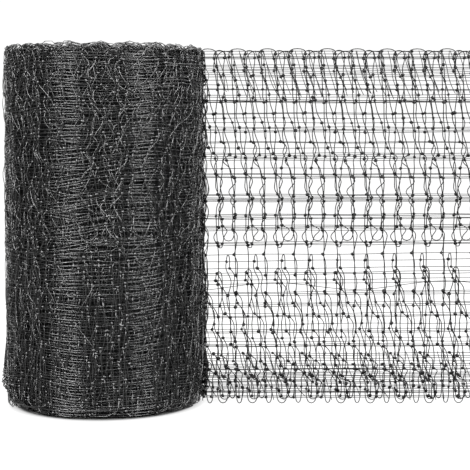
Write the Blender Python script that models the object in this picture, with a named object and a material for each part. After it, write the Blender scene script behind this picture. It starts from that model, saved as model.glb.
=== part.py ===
"""A roll of black plastic bird netting that stands on one end, with its loose end drawn out.

Metres, +Z up. The origin is on the roll's axis, at the surface that the roll stands on. The
loose end lifts off the roll at its right side, turns outwards and runs along +X, standing on
its lower edge.

The net is 2.13 m wide, folded over and over along its length and gathered to 0.228 m before it
is wound, so that about seven layers lie over each other at any height. Together their uprights
leave gaps of about half a mesh.
"""

import bisect
import math

import bmesh
import bpy

MESH = 0.01905  # side of one square of the net
HEIGHT = 0.2275  # of the folded and gathered net, and so of the roll

# The roll: its outermost turn ends in a step, where the loose end starts.
ROLL_RADIUS = 0.0636
TURN_STEP = 0.0022
STEP_ANGLE = math.radians(0)
LIFT_ANGLE = math.radians(-2)
CALM_FADE = math.radians(22)  # the wall gets its furrows this far away from the loose end
ROLL_COLUMNS = 64
WALL_ROW_HEIGHT = 0.0145
SHARP_ANGLE = math.radians(40)

# Rounded corners of the roll, as height above the lower end and inset of the wall.
FOOT_CORNER = ((0.0, 0.0040), (0.0015, 0.0018), (0.0045, 0.0005), (0.0100, 0.0))
# The same at the upper end, as depth below it.
HEAD_CORNER = ((0.0, 0.0034), (0.0014, 0.0014), (0.0040, 0.0004), (0.0100, 0.0))

# Upright furrows in the wall, where the wound net has drawn in. Angles are in degrees.
FURROWS = (
    {"angle": -138, "depth": 0.0017, "half_width": 13, "sway": 4.0},
    {"angle": -88, "depth": 0.0015, "half_width": 14, "sway": 3.0},
    {"angle": -40, "depth": 0.0018, "half_width": 12, "sway": 2.5},
    {"angle": 66, "depth": 0.0014, "half_width": 13, "sway": 3.0},
    {"angle": 118, "depth": 0.0016, "half_width": 14, "sway": 3.5},
    {"angle": 169, "depth": 0.0015, "half_width": 12, "sway": 3.0},
)
FURROW_SWAY_LENGTH = 0.130

# Soft bands around the wall.
BAND_DEPTH = 0.0005
SHORT_BAND = 0.037
LONG_BAND = 0.061

# The upper end lies just below a lip that waves, and has the spiral groove of the main turns.
RIM_WIDTH = 0.0040
RIM_DEPTH = 0.0016
LIP_WAVE = 0.0007
LIP_WAVES = 9
GROOVE_TURNS = 6
GROOVE_INNER = 0.0070
GROOVE_RIM_GAP = 0.0110
GROOVE_HALF_WIDTH = 0.0011
GROOVE_DEPTH = 0.0022
GROOVE_STEPS_PER_TURN = 32

# The loose end: a sheet that starts on the roll, lifts off it and turns outwards.
CLEARANCE = 0.0003
SHEET_THICKNESS = 0.0016
SHEET_TOP = 0.2270
OUTWARD_BEND = 0.0070
SHEET_COLUMNS = 21
COLUMN_PITCH = MESH / 2
COLUMN_STRIP = 0.0015
BEND_LIMIT = math.radians(8)  # the most that one facet of the sheet turns
PATH_STEP = 0.0005

# Cross strands of the loose end that show, several together where the net is gathered.
ROWS = (
    {"height": 0.0022, "strip": 0.0044, "drift": 0.0},
    {"height": 0.0165, "strip": 0.0030, "drift": 0.0004},
    {"height": 0.0300, "strip": 0.0028, "drift": 0.0008},
    {"height": 0.0430, "strip": 0.0020, "drift": 0.0014},
    {"height": 0.0570, "strip": 0.0024, "drift": 0.0018},
    {"height": 0.0740, "strip": 0.0018, "drift": 0.0016},
    {"height": 0.0945, "strip": 0.0018, "drift": 0.0012},
    {"height": 0.1140, "strip": 0.0022, "drift": 0.0008},
    {"height": 0.1325, "strip": 0.0026, "drift": -0.0006},
    {"height": 0.1485, "strip": 0.0018, "drift": -0.0008},
    {"height": 0.1620, "strip": 0.0018, "drift": -0.0008},
    {"height": 0.1770, "strip": 0.0024, "drift": -0.0006},
    {"height": 0.1955, "strip": 0.0028, "drift": -0.0004},
    {"height": 0.2095, "strip": 0.0034, "drift": 0.0},
    {"height": 0.2245, "strip": 0.0050, "drift": 0.0},
)

# How far the uprights lean along the sheet at some heights, and how far the sheet stands out.
LEAN = (
    {"height": 0.000, "shift": 0.0016, "stand_out": 0.0000},
    {"height": 0.060, "shift": 0.0004, "stand_out": -0.0010},
    {"height": 0.110, "shift": -0.0008, "stand_out": 0.0008},
    {"height": 0.150, "shift": 0.0006, "stand_out": -0.0004},
    {"height": 0.190, "shift": -0.0002, "stand_out": 0.0008},
    {"height": 0.228, "shift": -0.0022, "stand_out": -0.0006},
)
DRIFT_LENGTH = 0.170
STAND_OUT_LENGTH = 0.280
LEVEL_EDGE = 0.010  # the sheet's lower and upper edges stay level over this height
SMOOTH_START = COLUMN_PITCH  # the sheet is even over this length next to the roll,
SMOOTH_FADE = 4 * COLUMN_PITCH  # and grows as uneven as the rest over this one

NET_BLACK = (0.012, 0.012, 0.013, 1.0)
NET_ROUGHNESS = 0.38


def smooth(share):
    """0 to 1 without a kink at either end."""
    share = min(1.0, max(0.0, share))
    return share * share * (3 - 2 * share)


def table_value(table, key, height):
    """A column of a table with heights, read between its rows."""
    heights = [row["height"] for row in table]
    upper = min(max(bisect.bisect_right(heights, height), 1), len(table) - 1)
    low, high = table[upper - 1], table[upper]
    share = smooth((height - low["height"]) / (high["height"] - low["height"]))
    return low[key] + (high[key] - low[key]) * share


def wound_radius(share):
    """The roll's outer radius before furrows, at a share of a turn round from the step."""
    return ROLL_RADIUS - TURN_STEP * share


def calm(share):
    """0 where the loose end lies on the roll, 1 away from it."""
    lies = (STEP_ANGLE - LIFT_ANGLE) / math.tau
    fade = CALM_FADE / math.tau
    return smooth((1 - lies - share) / fade) * smooth(share / fade)


def corner_inset(height):
    """How far the wall is drawn in near the two ends."""
    for corner, place in ((FOOT_CORNER, height), (HEAD_CORNER, HEIGHT - height)):
        for (near, near_inset), (far, far_inset) in zip(corner, corner[1:]):
            if near <= place <= far:
                return near_inset + (far_inset - near_inset) * (place - near) / (far - near)
    return 0.0


def furrow_depth(angle, height):
    """How far the upright furrows draw the wall in."""
    depth = 0.0
    for furrow in FURROWS:
        swing = math.sin(math.tau * height / FURROW_SWAY_LENGTH + furrow["angle"])
        away = math.degrees(angle) - furrow["angle"] - furrow["sway"] * swing
        away = (away + 180) % 360 - 180
        depth += furrow["depth"] * (1 - smooth(abs(away) / furrow["half_width"]))
    return depth


def band_depth(angle, height):
    """Soft bands around the roll, uneven in height and round it."""
    short = math.sin(math.tau * height / SHORT_BAND + 1.3 * math.sin(angle))
    long = math.sin(math.tau * height / LONG_BAND + 2.1 * math.cos(angle))
    return BAND_DEPTH * (2 - short - long) / 2


def wall_point(share, height):
    angle = STEP_ANGLE + math.tau * share
    drawn_in = furrow_depth(angle, height) + band_depth(angle, height)
    radius = wound_radius(share) - calm(share) * drawn_in - corner_inset(height)
    return radius * math.cos(angle), radius * math.sin(angle), height


def wall_heights():
    """Heights of the wall's rings: both rounded corners, and even rings between them."""
    foot = [height for height, _ in FOOT_CORNER]
    head = [HEIGHT - depth for depth, _ in reversed(HEAD_CORNER)]
    between = round((head[0] - foot[-1]) / WALL_ROW_HEIGHT)
    step = (head[0] - foot[-1]) / between
    return foot + [foot[-1] + step * i for i in range(1, between)] + head


def net_material():
    material = bpy.data.materials.new("net_black")
    material.use_nodes = True
    shader = material.node_tree.nodes["Principled BSDF"]
    shader.inputs["Base Color"].default_value = NET_BLACK
    shader.inputs["Roughness"].default_value = NET_ROUGHNESS
    shader.inputs["Metallic"].default_value = 0.0
    return material


def add_object(name, made, material=None):
    """A closed bmesh as a named object, with its faces pointing out."""
    mesh = bpy.data.meshes.new(name)
    bmesh.ops.recalc_face_normals(made, faces=made.faces)
    made.to_mesh(mesh)
    made.free()
    obj = bpy.data.objects.new(name, mesh)
    bpy.context.scene.collection.objects.link(obj)
    if material:
        mesh.materials.append(material)
    return obj


def roll_mesh():
    """The wound form: a wall with its step, a flat lower end and a recessed upper end."""
    made = bmesh.new()
    shares = [i / ROLL_COLUMNS for i in range(ROLL_COLUMNS + 1)]
    rings = [[made.verts.new(wall_point(u, z)) for u in shares] for z in wall_heights()]
    for share, corner in zip(shares, rings[-1]):
        corner.co.z += LIP_WAVE * math.sin(math.tau * LIP_WAVES * share) * calm(share)
    rim = []
    for corner in rings[-1]:
        inward = 1 - RIM_WIDTH / math.hypot(corner.co.x, corner.co.y)
        place = (corner.co.x * inward, corner.co.y * inward, HEIGHT - RIM_DEPTH)
        rim.append(made.verts.new(place))
    rings.append(rim)
    for lower, upper in zip(rings, rings[1:]):
        for i in range(ROLL_COLUMNS + 1):
            j = (i + 1) % (ROLL_COLUMNS + 1)
            made.faces.new((lower[i], lower[j], upper[j], upper[i]))
    made.faces.new(rings[0])
    made.faces.new(rings[-1])
    return made


def groove_mesh():
    """The cutter of the spiral groove, a long wedge with its edge down."""
    made = bmesh.new()
    end = HEIGHT - RIM_DEPTH
    bottom = end - GROOVE_DEPTH
    top = end + GROOVE_DEPTH
    profile = ((-2 * GROOVE_HALF_WIDTH, top), (2 * GROOVE_HALF_WIDTH, top), (0.0, bottom))
    outer = ROLL_RADIUS - GROOVE_RIM_GAP
    sections = []
    for i in range(GROOVE_TURNS * GROOVE_STEPS_PER_TURN + 1):
        turns = i / GROOVE_STEPS_PER_TURN
        angle = STEP_ANGLE - math.tau * turns
        radius = GROOVE_INNER + (outer - GROOVE_INNER) * turns / GROOVE_TURNS
        section = []
        for across, z in profile:
            reach = radius + across
            section.append(made.verts.new((reach * math.cos(angle), reach * math.sin(angle), z)))
        sections.append(section)
    for a, b in zip(sections, sections[1:]):
        for k in range(3):
            made.faces.new((a[k], a[(k + 1) % 3], b[(k + 1) % 3], b[k]))
    made.faces.new(sections[0])
    made.faces.new(sections[-1])
    return made


def sheet_path():
    """(x, y, heading) along the middle of the loose end, seen from above, every PATH_STEP."""
    widest = wound_radius(1 - (STEP_ANGLE - LIFT_ANGLE) / math.tau)
    lies = widest + CLEARANCE + SHEET_THICKNESS / 2
    angle = STEP_ANGLE - math.asin(CLEARANCE / lies)
    lift_length = lies * (angle - LIFT_ANGLE)
    length = (SHEET_COLUMNS - 1) * COLUMN_PITCH + 2 * COLUMN_STRIP
    x, y = lies * math.cos(angle), lies * math.sin(angle)
    heading = angle - math.pi / 2
    path = [(x, y, heading)]
    for i in range(math.ceil(length / PATH_STEP)):
        if i * PATH_STEP < lift_length:
            turn = -PATH_STEP / lies
        else:
            turn = min(PATH_STEP / OUTWARD_BEND, -heading)
        middle = heading + turn / 2
        x, y = x + PATH_STEP * math.cos(middle), y + PATH_STEP * math.sin(middle)
        heading += turn
        path.append((x, y, heading))
    return path


def path_at(path, along):
    """The path's place and heading at a length along it."""
    i = min(int(along / PATH_STEP), len(path) - 2)
    rest = along / PATH_STEP - i
    return tuple(a + (b - a) * rest for a, b in zip(path[i], path[i + 1]))


def column_edges(path):
    """(along, is an upright): where each upright, and each facet of the gap after it, starts."""
    edges = []
    for i in range(SHEET_COLUMNS):
        start = i * COLUMN_PITCH
        edges += [(start, True), (start + COLUMN_STRIP, False)]
        if i < SHEET_COLUMNS - 1:
            bend = path_at(path, start + COLUMN_PITCH)[2] - path_at(path, start)[2]
            facets = max(1, math.ceil(abs(bend) / BEND_LIMIT))
            facet = (COLUMN_PITCH - COLUMN_STRIP) / facets
            edges += [(start + COLUMN_STRIP + facet * k, False) for k in range(1, facets)]
    return edges


def row_edges():
    """(height, is a cross strand): where each cross strand, and the gap above it, starts."""
    edges = []
    for row in ROWS:
        edges.append((row["height"] - row["strip"] / 2, True))
        edges.append((row["height"] + row["strip"] / 2, False))
    return edges


def sheet_point(path, along, height, side):
    """A point of the sheet's left (1) or right (-1) face, with the net's unevenness."""
    free = smooth((along - SMOOTH_START) / SMOOTH_FADE)
    x, y, heading = path_at(path, along)
    shift = table_value(LEAN, "shift", height) * free
    stand_out = table_value(LEAN, "stand_out", height) * free
    across = side * SHEET_THICKNESS / 2
    across += stand_out * math.sin(math.tau * along / STAND_OUT_LENGTH + 1.2)
    inside = smooth(height / LEVEL_EDGE) * smooth((SHEET_TOP - height) / LEVEL_EDGE)
    drift = table_value(ROWS, "drift", height) * inside * free
    return (
        x + shift * math.cos(heading) - across * math.sin(heading),
        y + shift * math.sin(heading) + across * math.cos(heading),
        height + drift * math.sin(math.tau * along / DRIFT_LENGTH - 1.9),
    )


def sheet_mesh():
    """The loose end: uprights and cross strands of one sheet, with the gaps cut through."""
    made = bmesh.new()
    path = sheet_path()
    columns, rows = column_edges(path), row_edges()
    grid = {
        (side, i, j): made.verts.new(sheet_point(path, along, height, side))
        for side in (-1, 1)
        for i, (along, _) in enumerate(columns)
        for j, (height, _) in enumerate(rows)
    }
    last_column, last_row = len(columns) - 1, len(rows) - 1

    def is_net(i, j):
        inside = 0 <= i < last_column and 0 <= j < last_row
        return inside and (columns[i][1] or rows[j][1])

    for i in range(last_column):
        for j in range(last_row):
            if not is_net(i, j):
                continue
            corners = ((i, j), (i + 1, j), (i + 1, j + 1), (i, j + 1))
            beyond = ((i, j - 1), (i + 1, j), (i, j + 1), (i - 1, j))
            for side in (-1, 1):
                made.faces.new([grid[side, *corner] for corner in corners[::side]])
            for k, neighbour in enumerate(beyond):
                if not is_net(*neighbour):
                    a, b = corners[k], corners[(k + 1) % 4]
                    made.faces.new((grid[-1, *a], grid[-1, *b], grid[1, *b], grid[1, *a]))
    return made


def main():
    for obj in list(bpy.data.objects):
        bpy.data.objects.remove(obj)
    black = net_material()

    roll = add_object("net_roll", roll_mesh(), black)
    roll.data.shade_smooth()
    roll.data.set_sharp_from_angle(angle=SHARP_ANGLE)
    groove = add_object("groove_cutter", groove_mesh())
    groove.hide_render = True
    groove.display_type = "WIRE"
    cut = roll.modifiers.new("spiral_groove", "BOOLEAN")
    cut.operation = "DIFFERENCE"
    cut.object = groove

    add_object("loose_end", sheet_mesh(), black)


main()
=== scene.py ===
import math

import bpy
import numpy as np
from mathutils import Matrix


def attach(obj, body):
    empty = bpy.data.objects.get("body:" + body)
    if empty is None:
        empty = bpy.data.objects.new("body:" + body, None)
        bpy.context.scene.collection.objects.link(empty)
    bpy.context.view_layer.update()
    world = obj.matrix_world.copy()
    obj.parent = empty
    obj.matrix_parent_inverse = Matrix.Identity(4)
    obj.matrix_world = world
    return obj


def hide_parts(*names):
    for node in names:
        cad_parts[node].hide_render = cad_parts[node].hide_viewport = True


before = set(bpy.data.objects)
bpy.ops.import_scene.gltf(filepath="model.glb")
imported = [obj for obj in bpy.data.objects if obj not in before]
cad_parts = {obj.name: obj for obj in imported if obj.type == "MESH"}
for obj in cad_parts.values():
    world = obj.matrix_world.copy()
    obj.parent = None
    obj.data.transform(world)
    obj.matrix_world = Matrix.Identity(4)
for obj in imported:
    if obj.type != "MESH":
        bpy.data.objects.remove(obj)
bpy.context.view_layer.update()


# The view: the roll stands a little left of the picture's middle, seen from just above its
# middle and from about 0.9 m away. The loose end runs out of the picture on the right.

CAMERA_PLACE = (0.0845, -0.9163, 0.1739)
CAMERA_DROP = math.radians(4.08)
LENS = 108.6

camera = bpy.data.objects.new("view_camera", bpy.data.cameras.new("view_camera"))
camera.data.sensor_width = 36.0
camera.data.lens = LENS
camera.location = CAMERA_PLACE
camera.rotation_euler = (math.pi / 2 - CAMERA_DROP, 0.0, 0.0)
bpy.context.scene.collection.objects.link(camera)
bpy.context.scene.camera = camera


# The table: a white sweep of paper that turns up behind the roll, bright enough to lose its
# own edges in the picture. Its glow is dimmed in a ring round the foot of the roll: a painted
# contact shadow.

PAPER_FRONT = -9.0
PAPER_BEND_START = 1.8
PAPER_BEND = 0.8
PAPER_TOP = 3.2
PAPER_HALF_WIDTH = 3.5
PAPER_WHITE = (0.05, 0.05, 0.05, 1.0)
# Painted contact shadow: the paper's glow dims near the roll, in a ring a little narrower from side
# to side.
PAINTED_SHADOW_MIDDLE = (0.001, -0.004)
PAINTED_SHADOW_SQUEEZE = 1.05
PAINTED_PAPER_SHADOW = (
    # distance from the middle of the painted shadow, glow
    (0.0000, 0.00),
    (0.0585, 0.00),
    (0.0615, 0.55),
    (0.0670, 0.86),
    (0.1100, 0.91),
    (0.1900, 0.95),
)

bend = [math.radians(a) for a in range(0, 91, 10)]
profile = [(PAPER_FRONT, 0.0)]
profile += [
    (PAPER_BEND_START + PAPER_BEND * math.sin(a), PAPER_BEND * (1 - math.cos(a))) for a in bend
]
profile += [(PAPER_BEND_START + PAPER_BEND, PAPER_TOP)]
corners = [(x, y, z) for y, z in profile for x in (-PAPER_HALF_WIDTH, PAPER_HALF_WIDTH)]
faces = [(2 * i, 2 * i + 1, 2 * i + 3, 2 * i + 2) for i in range(len(profile) - 1)]
paper_mesh = bpy.data.meshes.new("paper")
paper_mesh.from_pydata(corners, [], faces)
paper_mesh.shade_smooth()
paper = bpy.data.objects.new("paper", paper_mesh)
bpy.context.scene.collection.objects.link(paper)

paper_white = bpy.data.materials.new("paper_white")
paper_white.use_nodes = True
shader = paper_white.node_tree.nodes["Principled BSDF"]
shader.inputs["Base Color"].default_value = PAPER_WHITE
shader.inputs["Roughness"].default_value = 0.9
shader.inputs["Specular IOR Level"].default_value = 0.1
shader.inputs["Emission Strength"].default_value = 1.0
nodes, links = paper_white.node_tree.nodes, paper_white.node_tree.links
position = nodes.new("ShaderNodeNewGeometry")
level = nodes.new("ShaderNodeVectorMath")
level.operation = "MULTIPLY_ADD"
level.inputs[1].default_value = (PAINTED_SHADOW_SQUEEZE, 1.0, 0.0)
level.inputs[2].default_value = (-PAINTED_SHADOW_MIDDLE[0] * PAINTED_SHADOW_SQUEEZE, -PAINTED_SHADOW_MIDDLE[1], 0.0)
links.new(position.outputs["Position"], level.inputs[0])
distance = nodes.new("ShaderNodeVectorMath")
distance.operation = "LENGTH"
links.new(level.outputs["Vector"], distance.inputs[0])
reach_share = nodes.new("ShaderNodeMapRange")
reach_share.inputs["From Max"].default_value = PAINTED_PAPER_SHADOW[-1][0]
links.new(distance.outputs["Value"], reach_share.inputs["Value"])
# Painted contact shadow: the paper's glow follows the distance from the roll's foot.
painted_shadow_ramp = nodes.new("ShaderNodeValToRGB")
for away, glow in PAINTED_PAPER_SHADOW[1:-1]:
    painted_shadow_ramp.color_ramp.elements.new(away / PAINTED_PAPER_SHADOW[-1][0])
for stop, (away, glow) in zip(painted_shadow_ramp.color_ramp.elements, PAINTED_PAPER_SHADOW):
    stop.position = away / PAINTED_PAPER_SHADOW[-1][0]
    stop.color = (glow, glow, glow, 1.0)
links.new(reach_share.outputs["Result"], painted_shadow_ramp.inputs["Fac"])
links.new(painted_shadow_ramp.outputs["Color"], shader.inputs["Emission Color"])
paper_mesh.materials.append(paper_white)


# The light: a high soft box on either side of the camera, each of which draws one pale band
# down the roll, weaker ones at the right and above, and a pale room all round.

SOFT_BOXES = (
    {"name": "left_box", "place": (-0.67, -0.90, 1.00), "size": (0.95, 1.0), "watts": 112},
    {"name": "right_box", "place": (1.15, -0.85, 1.00), "size": (1.10, 1.0), "watts": 113},
    {"name": "side_box", "place": (1.15, 0.60, 0.90), "size": (0.70, 0.9), "watts": 22},
    {"name": "top_box", "place": (0.1, -0.05, 1.8), "size": (1.3, 1.0), "watts": 20},
)
LIT_PLACE = (0.03, 0.0, 0.12)
ROOM_LIGHT = 0.07

for box in SOFT_BOXES:
    light = bpy.data.lights.new(box["name"], "AREA")
    light.shape = "RECTANGLE"
    light.size, light.size_y = box["size"]
    light.energy = box["watts"]
    lamp = bpy.data.objects.new(box["name"], light)
    lamp.location = box["place"]
    aim = [b - a for a, b in zip(box["place"], LIT_PLACE)]
    flat = math.hypot(aim[0], aim[1])
    lamp.rotation_euler = (math.atan2(flat, -aim[2]), 0.0, math.atan2(aim[1], aim[0]) - math.pi / 2)
    bpy.context.scene.collection.objects.link(lamp)

room = bpy.data.worlds.new("room")
room.use_nodes = True
room.node_tree.nodes["Background"].inputs["Color"].default_value = (1.0, 1.0, 1.0, 1.0)
room.node_tree.nodes["Background"].inputs["Strength"].default_value = ROOM_LIGHT
bpy.context.scene.world = room
bpy.context.scene.view_settings.view_transform = "Standard"


# The loose end: about seven layers of one folded net, drawn taut to the right. The strands and
# knots are black polypropylene, extruded as one piece. The long strands run level, and the
# short ones between them are longer than the space that they have, so they buckle.

MESH = 0.01905
NET_HEIGHT = 0.2280
LONG_STRAND = 0.00021
SHORT_STRAND = 0.00031
KNOT = {"length": 0.00118, "height": 0.00102, "depth": 0.00080}

# The route of the net, seen from above: it leaves the roll's step at the right, turns outwards
# and runs along +X. Behind the step it goes on round the roll, a little deeper at each turn.
STEP_RADIUS = 0.0625
RIGHT_SWELL = {"half_angle": math.radians(45), "out": 0.0014}
OUTER_LIFT = 0.0008
OUTER_LIFT_ANGLE = math.radians(15)
TURN_PITCH = 0.0011
TURNS = 4
MESHES_ROUND = 21
LEAVES_AT = math.radians(-5)
OUTWARD_BEND = 0.0032
LOOSE_LENGTH = 0.1925
ROUTE_STEP = 0.00025


def smooth(share):
    share = np.clip(share, 0.0, 1.0)
    return share * share * (3 - 2 * share)


def roll_radius(angle):
    """Radius of the roll's outer turn, which swells a little where the loose end leaves it."""
    away = (angle + math.pi) % math.tau - math.pi
    return STEP_RADIUS + RIGHT_SWELL["out"] * np.exp(-((away / RIGHT_SWELL["half_angle"]) ** 2))


def net_route():
    """Rows of length from the step, x, y and heading, from deep in the roll to the free end.

    Each turn holds the same number of meshes, so that the arches of all the turns line up.
    """
    turned = np.arange(TURNS * math.tau, 0, -ROUTE_STEP / STEP_RADIUS)
    radius = roll_radius(turned) + OUTER_LIFT * smooth(turned / OUTER_LIFT_ANGLE)
    radius -= TURN_PITCH * turned / math.tau
    x, y = radius * np.cos(turned), radius * np.sin(turned)
    length = -turned * MESHES_ROUND * MESH / math.tau
    wound = np.array((length, x, y, turned - math.pi / 2))
    free = [(0.0, roll_radius(0.0), 0.0, -math.pi / 2)]
    while free[-1][0] < LOOSE_LENGTH:
        length, x, y, heading = free[-1]
        lies = length < -LEAVES_AT * STEP_RADIUS
        turn = -ROUTE_STEP / STEP_RADIUS if lies else min(ROUTE_STEP / OUTWARD_BEND, -heading)
        middle = heading + turn / 2
        x, y = x + ROUTE_STEP * math.cos(middle), y + ROUTE_STEP * math.sin(middle)
        free.append((length + ROUTE_STEP, x, y, heading + turn))
    return np.concatenate((wound, np.array(free).T), axis=1)


ROUTE = net_route()


def heading_at(along):
    return np.interp(along, ROUTE[0], ROUTE[3])


def net_places(along, height, out):
    """World places on the net, from the length along it, the height and the distance outwards."""
    heading = heading_at(along)
    x = np.interp(along, ROUTE[0], ROUTE[1]) - out * np.sin(heading)
    y = np.interp(along, ROUTE[0], ROUTE[2]) + out * np.cos(heading)
    return np.stack((x, y, height), axis=-1)


# Where the long strands lie in the loose end, from the top down, in mm: in each row of the table
# so many strands between two heights, close together where the net is gathered.
LONG_STRANDS = (
    # top, bottom, strands
    (226.3, 224.5, 2),
    (222.8, 221.6, 3),
    (217.6, 210.0, 7),
    (207.8, 205.2, 2),
    (202.3, 201.8, 2),
    (198.7, 197.1, 2),
    (195.4, 193.8, 4),
    (187.2, 186.6, 2),
    (183.9, 178.2, 3),
    (177.0, 175.0, 3),
    (168.8, 168.2, 2),
    (164.9, 164.9, 1),
    (161.6, 157.0, 5),
    (151.9, 151.9, 1),
    (148.4, 147.8, 2),
    (146.4, 145.8, 2),
    (135.2, 134.3, 2),
    (132.9, 130.5, 4),
    (122.3, 121.5, 2),
    (120.0, 119.4, 2),
    (115.0, 112.0, 4),
    (104.3, 102.2, 3),
    (96.1, 92.0, 2),
    (87.1, 87.1, 1),
    (84.3, 83.1, 2),
    (79.5, 75.3, 3),
    (71.7, 69.7, 3),
    (64.7, 62.6, 3),
    (57.8, 55.6, 3),
    (51.1, 51.1, 1),
    (47.7, 45.7, 3),
    (42.5, 40.2, 2),
    (38.2, 36.8, 3),
    (32.4, 27.6, 4),
    (25.6, 24.4, 2),
    (22.9, 21.9, 3),
    (20.4, 19.3, 2),
    (18.3, 16.6, 3),
    (15.4, 13.8, 3),
    (12.6, 9.6, 4),
    (8.0, 6.9, 3),
    (4.8, 4.0, 2),
)

# The net lies back and forth in panels, seven of them at the top and more, shorter ones at the
# foot. Each long strand in turn belongs to the panel that has waited longest for one. A panel's
# short strands drift along the net by the common lean times its slant, from its first knots on.
# The two nearest the front hang straighter than the rest.
PANELS = (
    {
        "top": 0.2280, "bottom": 0.0, "slant": 0.05, "depth": -0.0011, "pitch": MESH,
        "first": 0.0080, "slack": 0.3,
    },
    {
        "top": 0.2280, "bottom": 0.0, "slant": 0.03, "depth": -0.0007, "pitch": MESH,
        "first": 0.0159, "slack": 0.3,
    },
    {"top": 0.2280, "bottom": 0.1115, "slant": 0.98, "depth": -0.0003, "pitch": MESH},
    {"top": 0.2280, "bottom": 0.1115, "slant": -0.04, "depth": 0.0000, "pitch": MESH},
    {"top": 0.2280, "bottom": 0.1015, "slant": 1.00, "depth": 0.0004, "pitch": MESH},
    {"top": 0.2280, "bottom": 0.1015, "slant": 0.45, "depth": 0.0008, "pitch": MESH},
    {"top": 0.2280, "bottom": 0.0, "slant": 0.50, "depth": 0.0011, "pitch": MESH},
    {"top": 0.0925, "bottom": 0.0, "slant": 0.30, "depth": 0.0002, "pitch": 0.0178, "first": -0.0025},
    {"top": 0.0925, "bottom": 0.0, "slant": 0.90, "depth": 0.0005, "pitch": 0.0178},
    {"top": 0.0875, "bottom": 0.0, "slant": 0.85, "depth": 0.0008, "pitch": MESH},
    {"top": 0.0800, "bottom": 0.0, "slant": 0.90, "depth": 0.0010, "pitch": MESH},
    {"top": 0.0800, "bottom": 0.0, "slant": 0.75, "depth": 0.0012, "pitch": MESH},
    {"top": 0.0330, "bottom": 0.0, "slant": 1.40, "depth": 0.0006, "pitch": MESH, "first": -0.0043},
    {"top": 0.0260, "bottom": 0.0, "slant": 0.20, "depth": -0.0004, "pitch": MESH},
    {"top": 0.0925, "bottom": 0.0, "slant": 0.30, "depth": -0.0002, "pitch": MESH},
)
FOLDS = (
    {"panels": (1, 2), "at": "top", "edge": 0.2278, "blunt": 0.9, "width": -0.0105},
    {"panels": (2, 3), "at": "bottom", "edge": 0.1052, "blunt": 0.7, "width": -0.0080},
    {"panels": (3, 4), "at": "top", "edge": 0.2268, "blunt": 0.9, "width": -0.0068},
    {"panels": (4, 5), "at": "bottom", "edge": 0.1007, "blunt": 0.7, "width": -0.0025},
    {"panels": (5, 6), "at": "top", "edge": 0.2262, "blunt": 0.9, "width": -0.0111},
    {"panels": (7, 8), "at": "top", "edge": 0.0960, "blunt": 0.9, "width": 0.0020},
    {"panels": (0, 9), "at": "bottom", "edge": 0.00035, "blunt": 0.9, "width": 0.0039},
    {"panels": (9, 10), "at": "top", "edge": 0.0856, "blunt": 0.9, "width": 0.0042},
    {"panels": (10, 11), "at": "bottom", "edge": 0.0026, "blunt": 0.9, "width": 0.0060},
    {"panels": (12, 13), "at": "bottom", "edge": 0.0034, "blunt": 0.9, "width": 0.0036},
    {"panels": (1, 14), "at": "bottom", "edge": 0.00025, "blunt": 0.9, "width": 0.0067},
)

# How the short strands lie, from the top down: their lean along the net for each metre down,
# and how much of their spare length bows to one side or curls both ways.
SHORT_STRANDS = (
    {"height": 0.228, "lean": 0.25, "bow": 0.04, "curl": 0.04},
    {"height": 0.196, "lean": 0.25, "bow": 0.07, "curl": 0.06},
    {"height": 0.170, "lean": 0.30, "bow": 0.11, "curl": 0.14},
    {"height": 0.158, "lean": 0.30, "bow": 0.15, "curl": 0.26},
    {"height": 0.150, "lean": 0.30, "bow": 0.28, "curl": 0.52},
    {"height": 0.135, "lean": 0.16, "bow": 0.28, "curl": 0.52},
    {"height": 0.125, "lean": 0.00, "bow": 0.20, "curl": 0.32},
    {"height": 0.100, "lean": -0.05, "bow": 0.42, "curl": 0.45},
    {"height": 0.070, "lean": 0.35, "bow": 0.45, "curl": 0.50},
    {"height": 0.045, "lean": 0.28, "bow": 0.38, "curl": 0.42},
    {"height": 0.025, "lean": 0.30, "bow": 0.22, "curl": 0.22},
    {"height": 0.000, "lean": 0.30, "bow": 0.26, "curl": 0.26},
)
OUT_LIMIT = 0.0028

# Low down, all the short strands bow to the right.
BOWS_ONE_WAY_BELOW = 0.100

net_chance = np.random.default_rng(41)
strand_height = np.concatenate([np.linspace(*row) for row in LONG_STRANDS]) / 1000
strand_count = len(strand_height)


def deal_strands():
    """The panel that each long strand belongs to."""
    last = [panel["top"] + 0.02 for panel in PANELS]
    dealt = []
    for height in strand_height:
        open_panels = [p for p, row in enumerate(PANELS) if row["bottom"] <= height <= row["top"]]
        longest = max(open_panels, key=lambda p: last[p])
        last[longest] = height
        dealt.append(longest)
    return np.array(dealt)


def short_strand(column, height):
    table = SHORT_STRANDS[::-1]
    return np.interp(height, [row["height"] for row in table], [row[column] for row in table])


def drift(height):
    """How far a short strand of slant 1 has drifted along the net on its way down."""
    down = np.linspace(0.228, 0, 457)
    lean = short_strand("lean", down)
    return np.interp(-height, -down, np.append(0.0, np.cumsum(lean[1:] * -np.diff(down))))


strand_panel = deal_strands()
panels = [np.flatnonzero(strand_panel == p) for p in range(len(PANELS))]
strand_pitch = np.array([row["pitch"] for row in PANELS])[strand_panel]

# Where each strand has its knots along the net. A panel's follow from the panel before it, by
# the width of the fold between them.
slanted = np.array([row["slant"] for row in PANELS])[strand_panel] * drift(strand_height)
reach = slanted + net_chance.normal(0, 0.0006, strand_count)
for p, panel in enumerate(PANELS):
    reach[panels[p]] += panel.get("first", 0.0)
for fold in FOLDS:
    end = {"top": 0, "bottom": -1}[fold["at"]]
    first, second = (panels[p] for p in fold["panels"])
    reach[second] += reach[first[end]] + fold["width"] - reach[second[end]]

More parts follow.
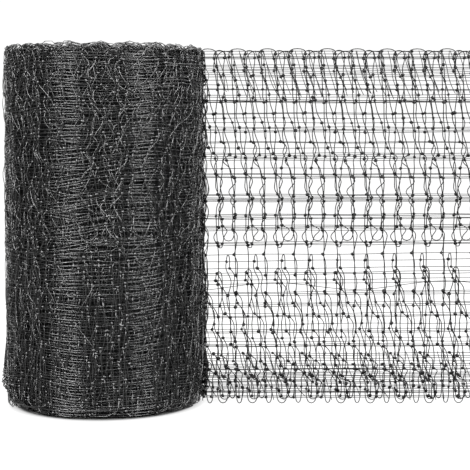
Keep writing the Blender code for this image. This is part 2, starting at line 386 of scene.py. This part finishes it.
strand_phase = net_chance.uniform(0, math.tau, (4, strand_count))
bow_sign = net_chance.choice((-1, 1), strand_count) * net_chance.uniform(0.2, 2.4, strand_count)
bow_sign = np.where(strand_height < BOWS_ONE_WAY_BELOW, np.abs(bow_sign), bow_sign)
strand_slack = np.array([panel.get("slack", 1.0) for panel in PANELS])[strand_panel]
bow_sign = bow_sign * strand_slack
curl_sign = net_chance.choice((-1, 1), strand_count, p=(0.2, 0.8))
curl_sign = curl_sign * strand_slack * net_chance.uniform(0.3, 2.2, strand_count)
out_sign = net_chance.choice((-1, 1), strand_count) * net_chance.uniform(0.5, 1.0, strand_count)

# How the net settles where it is wound: more evenly spread, and less straight.
WIND_IN = 0.070
EVENNESS = 0.72
KNOT_STRAY = 0.0029
WOUND_SHIFT = 0.0085
WOUND_UPRIGHTNESS = 0.70
KNOT_STRAYS = 97
knot_stray = net_chance.normal(0, 1, (strand_count, KNOT_STRAYS))
FURROWS = (
    {"angle": -138, "depth": 0.0025, "half_width": 15, "sway": 4.0},
    {"angle": -88, "depth": 0.0021, "half_width": 15, "sway": 3.0},
    {"angle": -40, "depth": 0.0025, "half_width": 14, "sway": 2.5},
    {"angle": 66, "depth": 0.0016, "half_width": 14, "sway": 3.0},
    {"angle": 118, "depth": 0.0018, "half_width": 15, "sway": 3.5},
    {"angle": 169, "depth": 0.0017, "half_width": 13, "sway": 3.0},
)
FURROW_SWAY_LENGTH = 0.130
BULGE = {"angle": 190, "half_angle": 24, "height": 0.020, "half_height": 0.011, "out": 0.0024}
TUCKS = (
    {"angle": 190, "half_angle": 40, "height": 0.0150, "inset": 0.0065},
    {"angle": -8, "half_angle": 32, "height": 0.0170, "inset": 0.0042},
)
END_CORNER = {"height": 0.0100, "head_inset": 0.0026, "foot_inset": 0.0014}
WOUND_FOOT = 0.0003
WOUND_HEAD = 0.2264
WOUND_ARCHES = 0.0024


def furrow_depth(angle, height):
    depth = 0.0
    for furrow in FURROWS:
        swing = np.sin(math.tau * height / FURROW_SWAY_LENGTH + furrow["angle"])
        away = np.degrees(angle) - furrow["angle"] - furrow["sway"] * swing
        away = (away + 180) % 360 - 180
        depth = depth + furrow["depth"] * (1 - smooth(np.abs(away) / furrow["half_width"]))
    return depth


def slack_bulge(angle, height):
    """How far the loosely wound lower left stands out, and both lower corners are tucked in."""
    away = (np.degrees(angle) - BULGE["angle"] + 180) % 360 - 180
    bulge = np.exp(-((away / BULGE["half_angle"]) ** 2))
    bulge = bulge * np.exp(-(((height - BULGE["height"]) / BULGE["half_height"]) ** 2))
    out = BULGE["out"] * bulge
    for tuck in TUCKS:
        away = (np.degrees(angle) - tuck["angle"] + 180) % 360 - 180
        low = np.clip(1 - height / tuck["height"], 0, 1) ** 1.5
        out = out - tuck["inset"] * np.exp(-((away / tuck["half_angle"]) ** 2)) * low
    return out


def corner_inset(height):
    near_end = np.minimum(height, NET_HEIGHT - height) / END_CORNER["height"]
    inset = np.where(height < NET_HEIGHT / 2, END_CORNER["foot_inset"], END_CORNER["head_inset"])
    return inset * np.clip(1 - near_end, 0, 1) ** 2.4


def woundness(along):
    return smooth(-along / WIND_IN)


# The loose long strands rise a little to the right at the lower third, and each waves a little.
# One strand hangs slack, in a long wave.
END_FADE = 0.012
LOOSE_RISE = {"height": 0.078, "half_height": 0.040, "share": 0.011}
LOOSE_WAVE = {"height": 0.00022, "length": 0.105}
SLACK_STRAND = {"below": 0.0756, "above": 0.0752, "rise": 0.0022, "crest": 0.052, "length": 0.110}


def strand_heights_at(row, along):
    """Height of a long strand at a length along the net."""
    base = strand_height[row]
    ends = smooth(base / END_FADE) * smooth((NET_HEIGHT - base) / END_FADE)
    swell = np.exp(-(((base - LOOSE_RISE["height"]) / LOOSE_RISE["half_height"]) ** 2))
    hangs_slack = (base > SLACK_STRAND["above"]) & (base < SLACK_STRAND["below"])
    slack = SLACK_STRAND["rise"] * hangs_slack
    wave = np.sin(math.tau * along / LOOSE_WAVE["length"] + strand_phase[0, row])
    slack_wave = np.cos(math.tau * (along - SLACK_STRAND["crest"]) / SLACK_STRAND["length"])
    loose = base + ends * (
        LOOSE_RISE["share"] * swell * along + LOOSE_WAVE["height"] * wave + slack * slack_wave
    )
    even = WOUND_FOOT + (WOUND_HEAD - WOUND_FOOT) * (1 - row / (strand_count - 1))
    wound = base + (even - base) * EVENNESS
    wound = wound + 0.0060 * np.sin(math.pi * base / NET_HEIGHT) * np.sin(along / 0.093)
    wound = wound + ends * (
        0.0011 * np.sin(math.tau * along / 0.083 + 41 * base + 1.0)
        + 0.0009 * np.sin(math.tau * along / 0.149 - 27 * base)
        + 0.0005 * np.sin(math.tau * along / 0.047 + strand_phase[1, row])
    )
    return loose + (wound - loose) * woundness(along)


LOOSE_SWAY = {"out": 0.0004, "length": 0.140}
WOUND_SWAY = {"out": 0.0003, "length": 0.061}
WOUND_DEPTH_SHARE = 0.6


def strand_out_at(row, along, height):
    """How far a long strand lies outside the middle of the net."""
    loose = np.array([panel["depth"] for panel in PANELS])[strand_panel[row]]
    sway = np.sin(math.tau * along / LOOSE_SWAY["length"] + strand_phase[2, row])
    loose = loose + LOOSE_SWAY["out"] * sway
    angle = heading_at(along) + math.pi / 2
    wound = WOUND_DEPTH_SHARE * loose - furrow_depth(angle, height) - corner_inset(height)
    wound = wound + slack_bulge(angle, height)
    sway = np.sin(math.tau * along / WOUND_SWAY["length"] + strand_phase[3, row])
    wound = wound + WOUND_SWAY["out"] * sway
    return loose + (wound - loose) * woundness(along)


def tubes(places, outwards, radius, sides):
    """A closed tube along each line of places: corners, and their faces as lists of corners."""
    ahead = np.gradient(places, axis=1)
    ahead /= np.linalg.norm(ahead, axis=-1, keepdims=True)
    across = np.cross(ahead, outwards)
    across /= np.linalg.norm(across, axis=-1, keepdims=True)
    up = np.cross(across, ahead)
    turn = (np.arange(sides) + 0.5) * math.tau / sides
    ring = across[:, :, None] * np.cos(turn)[:, None] + up[:, :, None] * np.sin(turn)[:, None]
    corners = (places[:, :, None] + radius * ring).reshape(-1, 3)
    lines, steps = places.shape[:2]
    index = np.arange(lines * steps * sides).reshape(lines, steps, sides)
    beside = np.roll(index, -1, axis=2)
    walls = np.stack((index[:, :-1], index[:, 1:], beside[:, 1:], beside[:, :-1]), axis=-1)
    return corners, [walls.reshape(-1, 4), index[:, 0], index[:, -1, ::-1]]


def outward_of(along):
    heading = heading_at(along)
    return np.stack((-np.sin(heading), np.cos(heading), np.zeros_like(heading)), axis=-1)


KNOT_SIZES = {"least": 0.82, "most": 1.18}
KNOT_TILT = 0.35
KNOT_FLOOR = 0.0001


def beads(along, height, out, sides, rings, chance):
    """A small flattened bead at each place, longest along the strand."""
    heading = heading_at(along)
    level = np.stack((np.cos(heading), np.sin(heading), np.zeros_like(heading)), axis=-1)
    outwards = outward_of(along)
    size = chance.uniform(KNOT_SIZES["least"], KNOT_SIZES["most"], (len(along), 1, 1))
    tilt = chance.normal(0, KNOT_TILT, (len(along), 1, 1))
    lengthwise = np.cos(np.linspace(0, math.pi, rings + 2))[1:-1]
    round_ring = np.sqrt(1 - lengthwise**2)
    turn = (np.arange(sides) + 0.5) * math.tau / sides
    bead = [(1.0, 0.0, 0.0)]
    for a, r in zip(lengthwise, round_ring):
        bead += [(a, r * math.cos(t), r * math.sin(t)) for t in turn]
    bead = np.array(bead + [(-1.0, 0.0, 0.0)])
    a = bead[:, 0] * KNOT["length"] * size[:, 0]
    b = bead[:, 1] * KNOT["height"] * size[:, 0]
    c = bead[:, 2] * KNOT["depth"] * size[:, 0]
    cos, sin = np.cos(tilt[:, 0]), np.sin(tilt[:, 0])
    a, b = a * cos - b * sin, a * sin + b * cos
    centre = net_places(along, height, out)
    corners = centre[:, None] + a[..., None] * level[:, None] + c[..., None] * outwards[:, None]
    corners[..., 2] = np.maximum(corners[..., 2] + b, KNOT_FLOOR)
    start = np.arange(len(along))[:, None] * len(bead)
    first = np.arange(sides)
    second = (first + 1) % sides
    last = len(bead) - 1
    tips = [np.stack((np.zeros_like(first), 1 + second, 1 + first), axis=-1)]
    end = 1 + (rings - 1) * sides
    tips.append(np.stack((np.full_like(first, last), end + first, end + second), axis=-1))
    band = np.stack((1 + first, 1 + second, 1 + second + sides, 1 + first + sides), axis=-1)
    bands = [band + k * sides for k in range(rings - 1)]
    faces = [(start[..., None] + part).reshape(-1, 3) for part in tips]
    faces += [(start[..., None] + part).reshape(-1, 4) for part in bands]
    return corners.reshape(-1, 3), faces


def level_strands(rows, start, end, step, sides):
    """The long strands of the net between two lengths."""
    along = [start, *np.arange(math.floor(start / step) + 1, math.ceil(end / step)) * step, end]
    bend = [a for a in np.arange(0.0010, 0.0120, 0.0008) if start < a < end]
    along = np.unique(np.round(np.array(along + bend), 5))
    along = np.broadcast_to(along, (len(rows), len(along)))
    height = strand_heights_at(rows[:, None], along)
    out = strand_out_at(rows[:, None], along, height)
    return tubes(net_places(along, height, out), outward_of(along), LONG_STRAND, sides)


def knot_numbers(row, start, end):
    """The numbers of a strand's knots between two lengths."""
    pitch = strand_pitch[row]
    return np.arange(math.ceil((start - reach[row]) / pitch), math.ceil((end - reach[row]) / pitch))


def knot_places(row, numbers):
    """Lengths along the net of a strand's knots. Where it is wound, they stray a little, and the
    short strands drift less."""
    regular = reach[row] + numbers * strand_pitch[row]
    stray = KNOT_STRAY * knot_stray[row, numbers % KNOT_STRAYS]
    stray = stray + WOUND_SHIFT - WOUND_UPRIGHTNESS * slanted[row]
    return regular + stray * woundness(regular)


# The length of a short strand, and how far its spare length lets it bow.
SHORT_LENGTH = 0.0190
SPARE = {"least": 0.0030, "most": 0.0052}


def short_strand_lines(above, below, start, end, steps, chance):
    """Lines of the short strands from one long strand down to the next of its panel."""
    numbers = knot_numbers(above, start, end)
    a, b = knot_places(above, numbers), knot_places(below, numbers)
    inside = (b < LOOSE_LENGTH) & (b > ROUTE[0][0])
    a, b = a[inside, None], b[inside, None]
    za, zb = strand_heights_at(above, a), strand_heights_at(below, b)
    oa, ob = strand_out_at(above, a, za), strand_out_at(below, b, zb)
    wound = woundness(a)
    chord = np.hypot(b - a, za - zb)
    spare = 0.45 * np.sqrt(np.maximum(SHORT_LENGTH**2 - chord**2, 0))
    spare = np.clip(spare, SPARE["least"] * (1 - wound), SPARE["most"])
    jitter = chance.normal(0, 1, (3, len(a), 1))
    mean = (strand_height[above] + strand_height[below]) / 2
    change = 1 + 0.25 * np.sin(math.tau * a / 0.120 + strand_phase[0, above])
    bow = short_strand("bow", mean) * bow_sign[above] * change + 0.03 * jitter[0]
    curl = short_strand("curl", mean) * curl_sign[above] * change + 0.03 * jitter[1]
    bow = bow + (0.32 * jitter[0] - bow) * wound
    curl = curl + (0.42 * jitter[1] - curl) * wound
    too_long = np.maximum(np.hypot(bow, curl), 1.0)
    bow, curl = bow / too_long, curl / too_long
    hook = 0.24 * curl * (1 - wound)
    bulge = OUT_LIMIT * out_sign[above] * change
    furrow = furrow_depth(heading_at(a) + math.pi / 2, (za + zb) / 2)
    bulge = bulge + (0.0002 + 0.0005 * jitter[2] + 0.3 * furrow - bulge) * wound
    t = np.linspace(0, 1, steps + 1)[None]
    single, double, triple = (np.sin(k * math.pi * t) for k in (1, 2, 3))
    sideways = spare * (bow * single + 0.5 * curl * double + hook * triple)
    shifted = t + 0.6 * (smooth(t) - t)
    along = a + (b - a) * shifted + sideways * (za - zb) / chord
    height = za + (zb - za) * t + sideways * (b - a) / chord
    out = oa + (ob - oa) * t + bulge * single
    return along, np.maximum(height, SHORT_STRAND), out


def fold_lines(fold, start, end, steps):
    """Lines of the short strands that pass round a fold, from one panel to the next."""
    side = {"top": 0, "bottom": -1}[fold["at"]]
    first, second = (panels[p][side] for p in fold["panels"])
    numbers = knot_numbers(first, start, end)
    a, b = knot_places(first, numbers), knot_places(second, numbers)
    inside = (b < LOOSE_LENGTH) & (b > ROUTE[0][0])
    a, b = a[inside, None], b[inside, None]
    za, zb = strand_heights_at(first, a), strand_heights_at(second, b)
    oa, ob = strand_out_at(first, a, za), strand_out_at(second, b, zb)
    edge = fold["edge"] + 0.5 * (za + zb - strand_height[first] - strand_height[second])
    if fold["edge"] > 0.220:
        edge = edge + WOUND_ARCHES * woundness(a) * net_chance.uniform(0.0, 1.0, a.shape)
    edge = np.maximum(edge, SHORT_STRAND)
    t = np.linspace(0, 1, steps + 1)[None]
    middle, half = (a + b) / 2, (b - a) / 2
    sideways = np.cos(math.pi * t)
    sideways = np.sign(sideways) * np.abs(sideways) ** fold["blunt"]
    along = middle - half * sideways * (1 + 0.18 * np.sin(math.pi * t))
    height = za + (zb - za) * t
    height = height + (edge - height) * np.sin(math.pi * t) ** 0.8
    out = oa + (ob - oa) * t
    return along, height, out


def add_net(name, parts, material):
    """One smooth mesh of several parts, as an object."""
    sizes = [len(corners) for corners, _ in parts]
    starts = np.cumsum([0, *sizes[:-1]])
    faces = [face + start for (_, part), start in zip(parts, starts) for face in part]
    mesh = bpy.data.meshes.new(name)
    mesh.vertices.add(sum(sizes))
    mesh.vertices.foreach_set("co", np.concatenate([c for c, _ in parts]).astype(np.float32).ravel())
    corners = np.concatenate([face.ravel() for face in faces]).astype(np.int32)
    counts = np.concatenate([np.full(len(face), face.shape[1]) for face in faces])
    mesh.loops.add(len(corners))
    mesh.loops.foreach_set("vertex_index", corners)
    mesh.polygons.add(len(counts))
    mesh.polygons.foreach_set("loop_start", (np.cumsum(counts) - counts).astype(np.int32))
    mesh.update(calc_edges=True)
    mesh.shade_smooth()
    mesh.materials.append(material)
    piece = bpy.data.objects.new(name, mesh)
    bpy.context.scene.collection.objects.link(piece)
    return piece


def net_parts(which, start, end, detail, chance):
    """Long strands, short strands, folds and knots of some panels between two lengths."""
    rows = np.concatenate([panels[p] for p in which])
    parts = [level_strands(rows, start, end, detail["step"], detail["sides"])]
    lines = []
    for p in which:
        for above, below in zip(panels[p], panels[p][1:]):
            steps = detail["short_steps"]
            lines.append(short_strand_lines(above, below, start, end, steps, chance))
    for fold in FOLDS:
        if fold["panels"][0] in which:
            lines.append(fold_lines(fold, start, end, detail["short_steps"]))
    along, height, out = (np.concatenate(column) for column in zip(*lines))
    places = net_places(along, height, out)
    parts.append(tubes(places, outward_of(along), detail["short_strand"], detail["sides"]))
    knots_of = [knot_places(r, knot_numbers(r, start, end)) for r in rows]
    along = np.concatenate(knots_of)
    row_of = np.repeat(rows, [len(knots) for knots in knots_of])
    height = strand_heights_at(row_of, along)
    out = strand_out_at(row_of, along, height)
    parts.append(
        beads(along, height, out, detail["knot_sides"], detail["knot_rings"], chance)
    )
    return parts


def black_net_material(name, tone, roughness, gloss_level=0.5):
    """Glossy black polypropylene, a little uneven in tone and gloss from strand to strand."""
    material = bpy.data.materials.new(name)
    material.use_nodes = True
    nodes, links = material.node_tree.nodes, material.node_tree.links
    shader = nodes["Principled BSDF"]
    shader.inputs["IOR"].default_value = 1.49
    shader.inputs["Specular IOR Level"].default_value = gloss_level
    where = nodes.new("ShaderNodeTexCoord")
    cloud = nodes.new("ShaderNodeTexNoise")
    cloud.inputs["Scale"].default_value = 90.0
    cloud.inputs["Detail"].default_value = 3.0
    links.new(where.outputs["Object"], cloud.inputs["Vector"])
    tones = nodes.new("ShaderNodeValToRGB")
    tones.color_ramp.elements[0].position = 0.35
    tones.color_ramp.elements[0].color = (tone * 0.5, tone * 0.5, tone * 0.52, 1.0)
    tones.color_ramp.elements[1].position = 0.70
    tones.color_ramp.elements[1].color = (tone * 1.5, tone * 1.5, tone * 1.5, 1.0)
    links.new(cloud.outputs["Fac"], tones.inputs["Fac"])
    links.new(tones.outputs["Color"], shader.inputs["Base Color"])
    gloss = nodes.new("ShaderNodeMapRange")
    gloss.inputs["To Min"].default_value = roughness - 0.07
    gloss.inputs["To Max"].default_value = roughness + 0.10
    links.new(cloud.outputs["Fac"], gloss.inputs["Value"])
    links.new(gloss.outputs["Result"], shader.inputs["Roughness"])
    grain = nodes.new("ShaderNodeTexNoise")
    grain.inputs["Scale"].default_value = 1400.0
    grain.inputs["Detail"].default_value = 2.0
    links.new(where.outputs["Object"], grain.inputs["Vector"])
    bump = nodes.new("ShaderNodeBump")
    bump.inputs["Strength"].default_value = 0.25
    bump.inputs["Distance"].default_value = 0.0001
    links.new(grain.outputs["Fac"], bump.inputs["Height"])
    links.new(bump.outputs["Normal"], shader.inputs["Normal"])
    return material


# The loose end's black is darker, rougher and less glossy than the wound net's, though it is the same
# polypropylene: painted shade.
loose_black_painted_shade = black_net_material("loose_net_black_painted_shade", 0.0015, 0.36, 0.12)
LOOSE_DETAIL = {
    "step": MESH / 4,
    "sides": 5,
    "short_steps": 10,
    "short_strand": SHORT_STRAND,
    "knot_sides": 8,
    "knot_rings": 3,
}
LOOSE_PIECES = (
    {"name": "loose_end_front", "panels": (0, 1, 2, 7, 8, 14)},
    {"name": "loose_end_back", "panels": (3, 4, 5, 6, 9, 10, 11, 12, 13)},
)

for made in LOOSE_PIECES:
    parts = net_parts(made["panels"], 0.0, LOOSE_LENGTH, LOOSE_DETAIL, net_chance)
    piece = add_net(made["name"], parts, loose_black_painted_shade)
    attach(piece, "root")
    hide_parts("loose_end")


# The net's slack edges, behind the top and the foot of the loose end: short strands that hang
# slanting, some of them in bunches of two, closer together than the meshes before them.

SLACK_EDGES = (
    {
        "top": 0.2268, "foot": 0.1985, "first": 0.0163, "pitch": 0.0149, "lean": 0.0088,
        "spreads": (-0.00025, 0.00030, 0.0052, 0.0101), "stray": 0.00045,
    },
    {
        "top": 0.0335, "foot": 0.0045, "first": 0.0070, "pitch": 0.0127, "lean": 0.0085,
        "spreads": (0.0, 0.0047), "stray": 0.00110,
    },
)
EDGE_DEPTH = 0.0018
EDGE_STRAND = 0.00024


def edge_parts(edge, chance):
    first = np.arange(edge["first"], LOOSE_LENGTH - 0.004, edge["pitch"])
    t = np.linspace(0, 1, 15)[None]
    parts = []
    for spread in edge["spreads"]:
        start = first + spread + chance.normal(0, 0.7 * edge["stray"], len(first))
        lean = edge["lean"] + chance.normal(0, 2 * edge["stray"], (len(first), 1))
        wave = chance.normal(0, edge["stray"], (2, len(first), 1))
        along = start[:, None] + lean * (0.72 * t + 0.28 * t**2)
        along = along + wave[0] * np.sin(math.pi * t) + wave[1] * np.sin(math.tau * t)
        foot = edge["foot"] + chance.uniform(-0.0030, 0.0030, (len(first), 1))
        height = edge["top"] + (foot - edge["top"]) * t
        out = EDGE_DEPTH + 0.0004 * np.sin(math.pi * t) + 0 * along
        inside = along.max(axis=1) < LOOSE_LENGTH
        places = net_places(along[inside], height[inside], out[inside])
        parts.append(tubes(places, outward_of(along[inside]), EDGE_STRAND, 6))
    return parts


edge_tubes = [part for edge in SLACK_EDGES for part in edge_parts(edge, net_chance)]
edge_piece = add_net("loose_end_edge", edge_tubes, loose_black_painted_shade)
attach(edge_piece, "root")
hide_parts("loose_end")


# The outer turns of the roll: the same net, wound on. Its strands lie slack and cross at all
# angles in the furrows, and level and taut between them.

wound_black = black_net_material("wound_net_black", 0.004, 0.22)
# The two deeper turns get a darker, rougher, less glossy copy of the same black: painted shade, for
# the light that the turns before them hold back.
deep_black_painted_shade = black_net_material("deep_net_black_painted_shade", 0.0025, 0.30, 0.2)
OUTER_DETAIL = {
    "step": MESH / 3,
    "sides": 4,
    "short_steps": 5,
    "short_strand": 0.00025,
    "knot_sides": 4,
    "knot_rings": 2,
}
DEEP_DETAIL = {
    "step": MESH / 3,
    "sides": 3,
    "short_steps": 4,
    "short_strand": 0.00025,
    "knot_sides": 4,
    "knot_rings": 1,
}
turn_ends = np.interp(
    np.arange(TURNS + 1) * math.tau, (ROUTE[3] + math.pi / 2)[::-1], ROUTE[0][::-1]
)
turn_ends[0] = 0.0

for turn in range(TURNS):
    detail = OUTER_DETAIL if turn < 2 else DEEP_DETAIL
    start, end = turn_ends[turn + 1] + 0.0001, turn_ends[turn]
    parts = net_parts(range(len(PANELS)), start, end, detail, net_chance)
    piece = add_net(f"wound_turn_{turn + 1}", parts, wound_black if turn < 2 else deep_black_painted_shade)
    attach(piece, "root")
    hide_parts("net_roll")


# The rim: the arches of the turned-over net, which all turns have at the same places, so that
# they stand together as one scallop for each mesh.

RIM_TURNS = 6
RIM_PITCH = 0.0009
RIM_ARCHES = 3
RIM_FIRST = 0.80
RIM_FOOT = 0.2238
RIM_TOP = {"low": 0.2256, "high": 0.2294}
RIM_HALF_WIDTH = {"low": 0.0050, "high": 0.0082}
RIM_WANDER = 0.0026


def rim_parts(chance):
    count = MESHES_ROUND * RIM_ARCHES
    middle_angles = (np.repeat(np.arange(MESHES_ROUND), RIM_ARCHES) + RIM_FIRST) * math.tau
    middle_angles = (middle_angles / MESHES_ROUND)[:, None]
    parts = []
    for turn in range(RIM_TURNS):
        radius = roll_radius(middle_angles) - 0.0006 - RIM_PITCH * turn
        middle = middle_angles + chance.normal(0, RIM_WANDER, (count, 1)) / radius
        half = chance.uniform(RIM_HALF_WIDTH["low"], RIM_HALF_WIDTH["high"], (count, 1)) / radius
        top = chance.uniform(RIM_TOP["low"], RIM_TOP["high"], (count, 1))
        t = np.linspace(-1, 1, 11)[None]
        wobble = chance.normal(0, 0.0004, (2, count, 1))
        height = RIM_FOOT + (top - RIM_FOOT) * np.sqrt(1 - 0.96 * t**2)
        height = height + wobble[0] * np.sin(3.3 * t + 9 * wobble[1] / 0.0004)
        turned = middle + half * t * (1.12 - 0.12 * t**2)
        out = radius + wobble[1] * np.cos(4 * t) + chance.normal(0, 0.0004, (count, 1))
        out = out - 0.5 * furrow_depth(turned, height)
        places = np.stack((out * np.cos(turned), out * np.sin(turned), height), axis=-1)
        outwards = np.stack((np.cos(turned), np.sin(turned), np.zeros_like(turned)), axis=-1)
        parts.append(tubes(places, outwards, SHORT_STRAND, 4))
    return parts


rim = add_net("upper_rim_arches", rim_parts(net_chance), wound_black)
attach(rim, "root")
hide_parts("net_roll")


# Stray loops of short strands that stand off the roll low on its left side.

STRAY_LOOPS = 46
STRAY_SIDE = {"angle": math.radians(189), "spread": math.radians(12)}
STRAY_HEIGHT = {"middle": 0.0125, "spread": 0.0055}
STRAY_SIZE = 0.0034


def stray_loop_parts(chance):
    angle = chance.normal(STRAY_SIDE["angle"], STRAY_SIDE["spread"], (STRAY_LOOPS, 1))
    middle = chance.normal(STRAY_HEIGHT["middle"], STRAY_HEIGHT["spread"], (STRAY_LOOPS, 1))
    middle = np.maximum(middle, 0.0035)
    size = STRAY_SIZE * chance.uniform(0.5, 1.2, (STRAY_LOOPS, 1))
    t = np.linspace(-1, 1, 11)[None]
    tilt = chance.uniform(-1, 1, (STRAY_LOOPS, 1))
    across = size * (t * np.sqrt(1 - 0.6 * tilt**2) + 0.3 * np.sin(math.pi * t))
    height = np.maximum(middle + size * t * tilt, SHORT_STRAND)
    bow = size * (1.1 * (1 - t**2) - 0.5)
    radius = STEP_RADIUS + bow - 0.6 * corner_inset(height)
    radius = radius + slack_bulge(angle + 0 * height, height)
    turned = angle + across / STEP_RADIUS
    places = np.stack((radius * np.cos(turned), radius * np.sin(turned), height), axis=-1)
    sideways = np.stack((-np.sin(turned), np.cos(turned), np.full_like(turned, 0.35)), axis=-1)
    return [tubes(places, sideways, SHORT_STRAND, 5)]


stray = add_net("stray_loops", stray_loop_parts(net_chance), wound_black)
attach(stray, "root")
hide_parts("net_roll")


# The inner turns: more than a hundred, pressed together, of which only the outermost shows
# through the strands before it. One closed form with their relief. Its black is darker, rougher
# and less glossy than the net's own: painted shade for the depth of the roll.

INNER_DEPTH = TURN_PITCH * TURNS + 0.0006
INNER_COLUMNS = 180
INNER_ROWS = 76
INNER_TOP = NET_HEIGHT - 0.0052
INNER_CORNER = 0.0045


def inner_turns_mesh():
    share = np.linspace(0, 1, INNER_ROWS)
    height = 0.0004 + (INNER_TOP - 0.0004) * share
    angle = np.arange(INNER_COLUMNS) * math.tau / INNER_COLUMNS
    height, angle = np.meshgrid(height, angle, indexing="ij")
    radius = roll_radius(angle) + OUTER_LIFT - INNER_DEPTH - 0.8 * furrow_depth(angle, height)
    near = (INNER_TOP - height) / INNER_CORNER
    radius -= INNER_CORNER * (1 - np.sqrt(1 - np.clip(1 - near, 0, 1) ** 2))
    radius += np.minimum(slack_bulge(angle, height), 0)
    radius += 0.00035 * np.sin(math.tau * height / 0.0041 + 3 * np.sin(3 * angle))
    radius += 0.00030 * np.sin(21 * angle + 60 * height + 2 * np.sin(math.tau * height / 0.03))
    wall = np.stack((radius * np.cos(angle), radius * np.sin(angle), height), axis=-1)
    corners = np.concatenate((wall.reshape(-1, 3), [(0, 0, 0.0004), (0, 0, INNER_TOP)]))
    index = np.arange(INNER_ROWS * INNER_COLUMNS).reshape(INNER_ROWS, INNER_COLUMNS)
    beside = np.roll(index, -1, axis=1)
    walls = np.stack((index[:-1], beside[:-1], beside[1:], index[1:]), axis=-1).reshape(-1, 4)
    below, above = len(corners) - 2, len(corners) - 1
    foot = np.stack((np.full(INNER_COLUMNS, below), beside[0], index[0]), axis=-1)
    head = np.stack((np.full(INNER_COLUMNS, above), index[-1], beside[-1]), axis=-1)
    return corners, [walls, foot, head]


# Painted shade: a darker, rougher, less glossy copy of the net's black for the inner turns.
inner_black_painted_shade = black_net_material("inner_net_black_painted_shade", 0.0012, 0.6, 0.1)
inner = add_net("wound_inner_turns", [inner_turns_mesh()], inner_black_painted_shade)
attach(inner, "root")
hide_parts("net_roll")


# The upper end: the folded edges of all the turns, side by side in one long spiral of strands
# and small arches.

END_PITCH = 0.0017
END_OUTER = 0.0570
END_INNER = 0.0035
END_STEP = MESH / 4
END_STRANDS = (
    {"height": 0.2258, "sway": 0.0008, "radius": LONG_STRAND},
    {"height": 0.2236, "sway": 0.0011, "radius": LONG_STRAND},
)
END_ARCHES = (
    {"foot": 0.2240, "top": 0.2277, "half_width": 0.0046, "start": 0.0},
    {"foot": 0.2225, "top": 0.2262, "half_width": 0.0034, "start": 0.0085},
)
ARCH_STEPS = 5


def end_places(turned, height, out):
    radius = END_OUTER - END_PITCH * turned / math.tau + out
    return np.stack((radius * np.cos(turned), radius * np.sin(turned), height), axis=-1)


def end_outward(turned):
    return np.stack((np.cos(turned), np.sin(turned), np.zeros_like(turned)), axis=-1)


def upper_end_parts(chance):
    turns = (END_OUTER - END_INNER) / END_PITCH
    fine = np.linspace(0, turns * math.tau, 20000)
    length = np.cumsum((END_OUTER - END_PITCH * fine / math.tau) * (fine[1] - fine[0]))
    turned = np.interp(np.arange(0, length[-1], END_STEP), length, fine)
    parts = []
    for strand in END_STRANDS:
        phase = chance.uniform(0, math.tau, 4)
        wave = np.sin(turned * 5.3 + phase[0]) + np.sin(turned * 13.1 + phase[1])
        height = strand["height"] + strand["sway"] * wave / 2
        out = 0.0004 * np.sin(turned * 8.7 + phase[2]) + 0.0003 * np.sin(turned * 21 + phase[3])
        places = end_places(turned, height, out)[None]
        parts.append(tubes(places, end_outward(turned)[None], strand["radius"], 3))
    for arch in END_ARCHES:
        middle = np.arange(arch["start"] + 0.006, length[-1] - 0.012, MESH)
        middle = middle + chance.normal(0, 0.0012, len(middle))
        t = np.linspace(0, math.pi, ARCH_STEPS + 1)
        size = chance.uniform(0.75, 1.2, (len(middle), 1))
        along = middle[:, None] - arch["half_width"] * size * np.cos(t)
        place = np.interp(along, length, fine)
        height = arch["foot"] + (arch["top"] - arch["foot"]) * np.minimum(size, 1) * np.sin(t)
        out = chance.normal(0, 0.0006, (len(middle), 1)) * np.sin(t)
        places = end_places(place, height, out)
        parts.append(tubes(places, end_outward(place), SHORT_STRAND, 3))
    return parts


upper_end = add_net("upper_end_edges", upper_end_parts(net_chance), wound_black)
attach(upper_end, "root")
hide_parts("net_roll")
